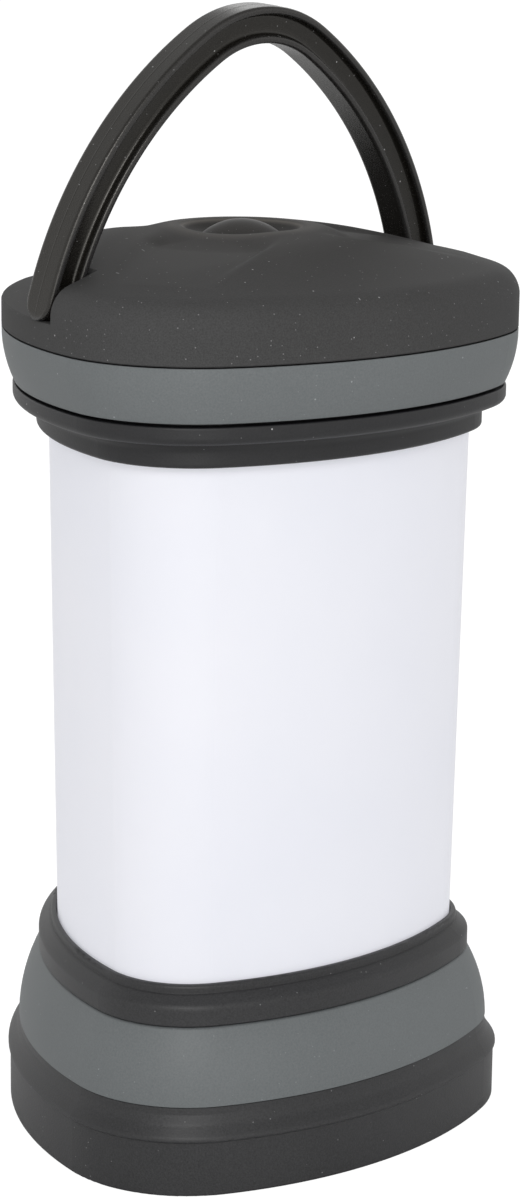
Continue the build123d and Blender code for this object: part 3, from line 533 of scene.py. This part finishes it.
def blended_row(share):
    """Row between the innermost offset outline and the circle where the crown starts."""
    def reach(angle):
        return outline_radius(angle, INNER_OFFSET) * (1 - share) + CROWN_RADIUS * share
    row = []
    for angles in column_angles(reach):
        for angle in angles:
            x = reach(angle) * math.cos(angle)
            y = reach(angle) * math.sin(angle)
            inward = outline_radius(angle, INNER_OFFSET) - reach(angle)
            row.append((x, y, dome_height(x, y, INNER_OFFSET - inward)))
    return row


def round_row(radius, height):
    """Circular row of the dish and its rim, a little lower where a scoop meets the rim."""
    row = []
    for angles in column_angles(lambda _: radius):
        for angle in angles:
            x = radius * math.cos(angle)
            y = radius * math.sin(angle)
            row.append((x, y, height - scoop_depth(x, y)))
    return row


def turned_row(radius, x):
    """Circle round the bail's pivot line."""
    turn = [2 * math.pi * k / TURNED_COLUMNS for k in range(TURNED_COLUMNS)]
    return [(x, radius * math.cos(angle), PIVOT + radius * math.sin(angle)) for angle in turn]


def wall_rows():
    """Rows of the underside and the wall, whose rear stops at the ledge for the folded bail."""
    low = DOME_LOW + WALL_ROUND
    turn = LEDGE_ROUND * 0.3        # a point half way round the ledge's edge
    return [
        offset_row(LID_OFFSET - WALL_INSIDE, LID_OFFSET - WALL_INSIDE, DOME_LOW, DOME_LOW),
        offset_row(LID_OFFSET - WALL_ROUND, LID_OFFSET - WALL_ROUND, DOME_LOW, DOME_LOW),
        offset_row(LID_OFFSET, LID_OFFSET, low, low),
        offset_row(LID_OFFSET, LID_OFFSET, LEDGE_FLOOR - LEDGE_ROUND, LEDGE_FLOOR - LEDGE_ROUND),
        offset_row(LID_OFFSET, LID_OFFSET - turn, LEDGE_FLOOR, LEDGE_FLOOR - turn),
        offset_row(LID_OFFSET, LID_OFFSET - LEDGE_ROUND, DOME_WALL_TOP, LEDGE_FLOOR),
    ]


def shoulder_rows():
    """Rows from the wall's top to the back of the ledge: soft shoulder in front, flat ledge behind."""
    rows = []
    for k in range(1, 13):
        inward = SHOULDER_RUN * (k / 12) ** 2
        rows.append(offset_row(LID_OFFSET - inward, LID_OFFSET - LEDGE_ROUND - inward, None, LEDGE_FLOOR))
    start = LID_OFFSET - SHOULDER_RUN
    for k in range(1, 13):
        offset = start + (LEDGE_OFFSET - start) * k / 12
        rear = min(offset, LID_OFFSET - LEDGE_ROUND - SHOULDER_RUN)
        rows.append(offset_row(offset, rear, None, LEDGE_FLOOR))
    return rows


def upper_rows():
    """Rows up the wall behind the ledge, and on over the skin to the edge of the crown."""
    rows = []
    for k in range(1, 9):
        climb = k / 8
        # past 0.85 of the climb the top edge rounds over
        lean = LEDGE_LEAN * LEDGE_RISE * climb + LEDGE_ROUND * max(climb - 0.85, 0) / 0.15
        rows.append(offset_row(LEDGE_OFFSET - lean, LEDGE_OFFSET - lean, None, -min(climb * 1.06, 1.0)))
    start = LEDGE_OFFSET - LEDGE_LEAN * LEDGE_RISE - LEDGE_ROUND
    for k in range(1, 21):
        offset = start + (INNER_OFFSET - start) * k / 20
        rows.append(offset_row(offset, offset, None, None))
    return rows + [blended_row(k / 30) for k in range(1, 31)]


def dome():
    """Lid dome with its dish, and the two bosses that hold the bail's stub axles."""
    rows = wall_rows() + shoulder_rows() + upper_rows()
    rows += [round_row(radius, height) for radius, height in DISH]
    bosses = [[turned_row(radius, side * x) for radius, x in BOSS] for side in (-1, 1)]
    return grid_piece("dome_skin", [rows] + bosses, "body", "soft_black", "lid_dome", 40)


# ---- bail ------------------------------------------------------------------------------------
def flank_centre(apex):
    """Centre of the flank's arc, which runs on from the apex's arc and ends at the pivot."""
    gap = math.hypot(PIVOT_HALF_SPAN, apex)
    inner = BAIL_FLANK_RADIUS - BAIL_APEX_RADIUS
    along = (inner ** 2 - BAIL_FLANK_RADIUS ** 2 + gap ** 2) / (2 * gap)
    across = math.sqrt(inner ** 2 - along ** 2)
    centre_x = (PIVOT_HALF_SPAN * along - apex * across) / gap
    centre_y = apex - (apex * along + PIVOT_HALF_SPAN * across) / gap
    return centre_x, centre_y


def bail_path():
    """Stations (x, height above the pivot, angle of the outward normal) from foot to foot."""
    apex = BAIL_RISE - BAIL_APEX_RADIUS
    centre_x, centre_y = flank_centre(apex)
    join = math.atan2(-centre_x, apex - centre_y)
    level = math.acos(-centre_y / BAIL_FLANK_RADIUS)
    half = []
    for k in range(13):
        angle = join * k / 12
        half.append((BAIL_APEX_RADIUS * math.sin(angle), apex + BAIL_APEX_RADIUS * math.cos(angle), angle))
    for k in range(1, 71):
        angle = join + (level - join) * k / 70
        x = centre_x + BAIL_FLANK_RADIUS * math.sin(angle)
        half.append((x, centre_y + BAIL_FLANK_RADIUS * math.cos(angle), angle))
    for k in range(1, 13):
        height = -BAIL_HALF_WIDTH * math.sin(math.pi / 2 * k / 12)
        angle = math.acos((height - centre_y) / BAIL_FLANK_RADIUS)
        half.append((centre_x + BAIL_FLANK_RADIUS * math.sin(angle), height, angle))
    return [(-x, height, -angle) for x, height, angle in reversed(half[1:])] + half


def bail_section(height):
    """Rounded I section as (outwards, sideways); solid and narrowing to a round foot at the pivot."""
    squeeze = math.sqrt(max(1 - (min(height, 0) / BAIL_HALF_WIDTH) ** 2, 0))
    depth = CHANNEL_DEPTH * smooth_step(height, CHANNEL_START, CHANNEL_FULL)
    outer = [(0.04, 0.0), (0.0, 0.1), (0.0, 0.3), (0.0, 2.9), (0.0, 3.2), (-0.06, 3.5), (-0.18, 3.73)]
    outer += [(-0.38, 3.9), (-0.64, 3.98), (-0.9, 4.0), (-1.25, 4.0)]
    # each point of the channel is how far outwards, and a share of the depth
    channel = [(-1.45, 0.05), (-1.62, 0.22), (-1.72, 0.6), (-1.9, 0.85), (-2.2, 0.97), (-2.5, 1.0)]
    channel += [(-BAIL_THICKNESS / 2, 1.0)]
    channel += [(-BAIL_THICKNESS - out, share) for out, share in reversed(channel[:-1])]
    inner = [(-BAIL_THICKNESS - out, side) for out, side in reversed(outer[1:])]
    quarter = outer + [(out, BAIL_HALF_WIDTH - depth * share) for out, share in channel] + inner
    mirrored = [(out, -side) for out, side in reversed(quarter[1:])]
    return [(out, side * squeeze) for out, side in quarter + mirrored]


def bail():
    """Bail swept over the arch, with its two stub axles, leaning as it stands at rest."""
    lean = math.radians(BAIL_LEAN)

    def placed(x, side, height):
        return (
            x, side * math.cos(lean) - height * math.sin(lean),
            PIVOT + side * math.sin(lean) + height * math.cos(lean))

    rows = []
    for x, height, angle in bail_path():
        rows.append([
            placed(x + out * math.sin(angle), side, height + out * math.cos(angle))
            for out, side in bail_section(height)
        ])
    stubs = [[turned_row(radius, side * x) for radius, x in STUB] for side in (-1, 1)]
    return grid_piece("bail_skin", [rows] + stubs, "handle", "handle_plastic", "handle", 50)


# ---- studio ----------------------------------------------------------------------------------
def surround():
    """World light that is weaker overhead, and plain white to the camera."""
    world = bpy.data.worlds.new("studio")
    bpy.context.scene.world = world
    world.use_nodes = True
    tree = world.node_tree
    light = tree.nodes["Background"]
    light.inputs["Strength"].default_value = 1.0
    direction = tree.nodes.new("ShaderNodeTexCoord")
    split = tree.nodes.new("ShaderNodeSeparateXYZ")
    tree.links.new(direction.outputs["Generated"], split.inputs["Vector"])
    level = tree.nodes.new("ShaderNodeValToRGB")
    for element, (height, grey) in zip(level.color_ramp.elements, (LOW_LIGHT, HIGH_LIGHT)):
        element.position = height
        element.color = (grey, grey, grey, 1.0)
    tree.links.new(split.outputs["Z"], level.inputs["Fac"])
    tree.links.new(level.outputs["Color"], light.inputs["Color"])
    seen = tree.nodes.new("ShaderNodeBackground")
    seen.inputs["Color"].default_value = (1.0, 1.0, 1.0, 1.0)
    path = tree.nodes.new("ShaderNodeLightPath")
    mixed = tree.nodes.new("ShaderNodeMixShader")
    tree.links.new(path.outputs["Is Camera Ray"], mixed.inputs["Fac"])
    tree.links.new(light.outputs["Background"], mixed.inputs[1])
    tree.links.new(seen.outputs["Background"], mixed.inputs[2])
    tree.links.new(mixed.outputs["Shader"], tree.nodes["World Output"].inputs["Surface"])


def floor_material():
    """Pale floor, lifted to white for the camera so that only a soft shadow stays."""
    material = bpy.data.materials.new("studio_floor")
    material.use_nodes = True
    tree = material.node_tree
    tree.nodes.remove(tree.nodes["Principled BSDF"])
    diffuse = tree.nodes.new("ShaderNodeBsdfDiffuse")
    diffuse.inputs["Color"].default_value = (0.9, 0.9, 0.9, 1.0)
    glow = tree.nodes.new("ShaderNodeEmission")
    glow.inputs["Strength"].default_value = FLOOR_GLOW
    ray = tree.nodes.new("ShaderNodeLightPath")
    share = tree.nodes.new("ShaderNodeMath")
    share.operation = "MULTIPLY"
    share.inputs[1].default_value = FLOOR_GLOW_SHARE
    mixed = tree.nodes.new("ShaderNodeMixShader")
    tree.links.new(ray.outputs["Is Camera Ray"], share.inputs[0])
    tree.links.new(share.outputs[0], mixed.inputs["Fac"])
    tree.links.new(diffuse.outputs[0], mixed.inputs[1])
    tree.links.new(glow.outputs[0], mixed.inputs[2])
    tree.links.new(mixed.outputs[0], tree.nodes["Material Output"].inputs["Surface"])
    return material


def studio():
    """White surround and floor, with soft lamps."""
    surround()
    bpy.ops.mesh.primitive_plane_add(size=FLOOR_SIZE, location=(0, 0, -FLOOR_SINK))
    floor = bpy.context.object
    floor.name = "studio_floor"
    floor.data.materials.append(floor_material())
    for name, place, size, power in LAMPS:
        lamp(name, place, size, power)


def lamp(name, place, size, power):
    """Square soft lamp aimed at the middle of the object."""
    data = bpy.data.lights.new(name, "AREA")
    data.size = size
    data.energy = power
    made = bpy.data.objects.new(name, data)
    made.location = place
    aim = Vector((0, 0, MIDDLE_HEIGHT)) - Vector(place)
    made.rotation_euler = aim.to_track_quat("-Z", "Y").to_euler()
    bpy.context.collection.objects.link(made)


def camera():
    """Camera of the viewpoint above, turned by its heading, pitch and roll."""
    heading = math.radians(CAMERA_HEADING)
    pitch = math.radians(CAMERA_PITCH)
    roll = math.radians(CAMERA_ROLL)
    turn = Matrix.Rotation(-heading, 3, "Z")
    forward = turn @ Vector((0, math.cos(pitch), -math.sin(pitch)))
    right = turn @ Vector((1, 0, 0))
    up = right.cross(forward)
    rolled_right = right * math.cos(roll) + up * math.sin(roll)
    rolled_up = up * math.cos(roll) - right * math.sin(roll)
    data = bpy.data.cameras.new("camera")
    data.lens = CAMERA_LENS
    data.sensor_width = SENSOR
    made = bpy.data.objects.new("camera", data)
    turned = Matrix((rolled_right, rolled_up, -forward)).transposed()
    made.matrix_world = Matrix.Translation(CAMERA_PLACE) @ turned.to_4x4()
    bpy.context.collection.objects.link(made)
    bpy.context.scene.camera = made


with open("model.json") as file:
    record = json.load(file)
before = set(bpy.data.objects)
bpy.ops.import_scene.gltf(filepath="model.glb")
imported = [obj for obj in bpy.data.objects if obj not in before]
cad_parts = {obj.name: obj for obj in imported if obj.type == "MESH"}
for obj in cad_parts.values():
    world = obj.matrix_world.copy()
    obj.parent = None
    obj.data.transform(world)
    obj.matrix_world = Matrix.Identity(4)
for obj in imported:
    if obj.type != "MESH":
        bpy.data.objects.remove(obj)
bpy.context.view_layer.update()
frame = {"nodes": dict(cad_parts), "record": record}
bpy.context.scene.view_settings.view_transform = "Standard"
camera()
studio()
finished = materials()
dress(frame, finished)
pieces = [dome(), bail()]
for piece in pieces:
    piece.data.materials.append(finished[piece["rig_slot"]].material)
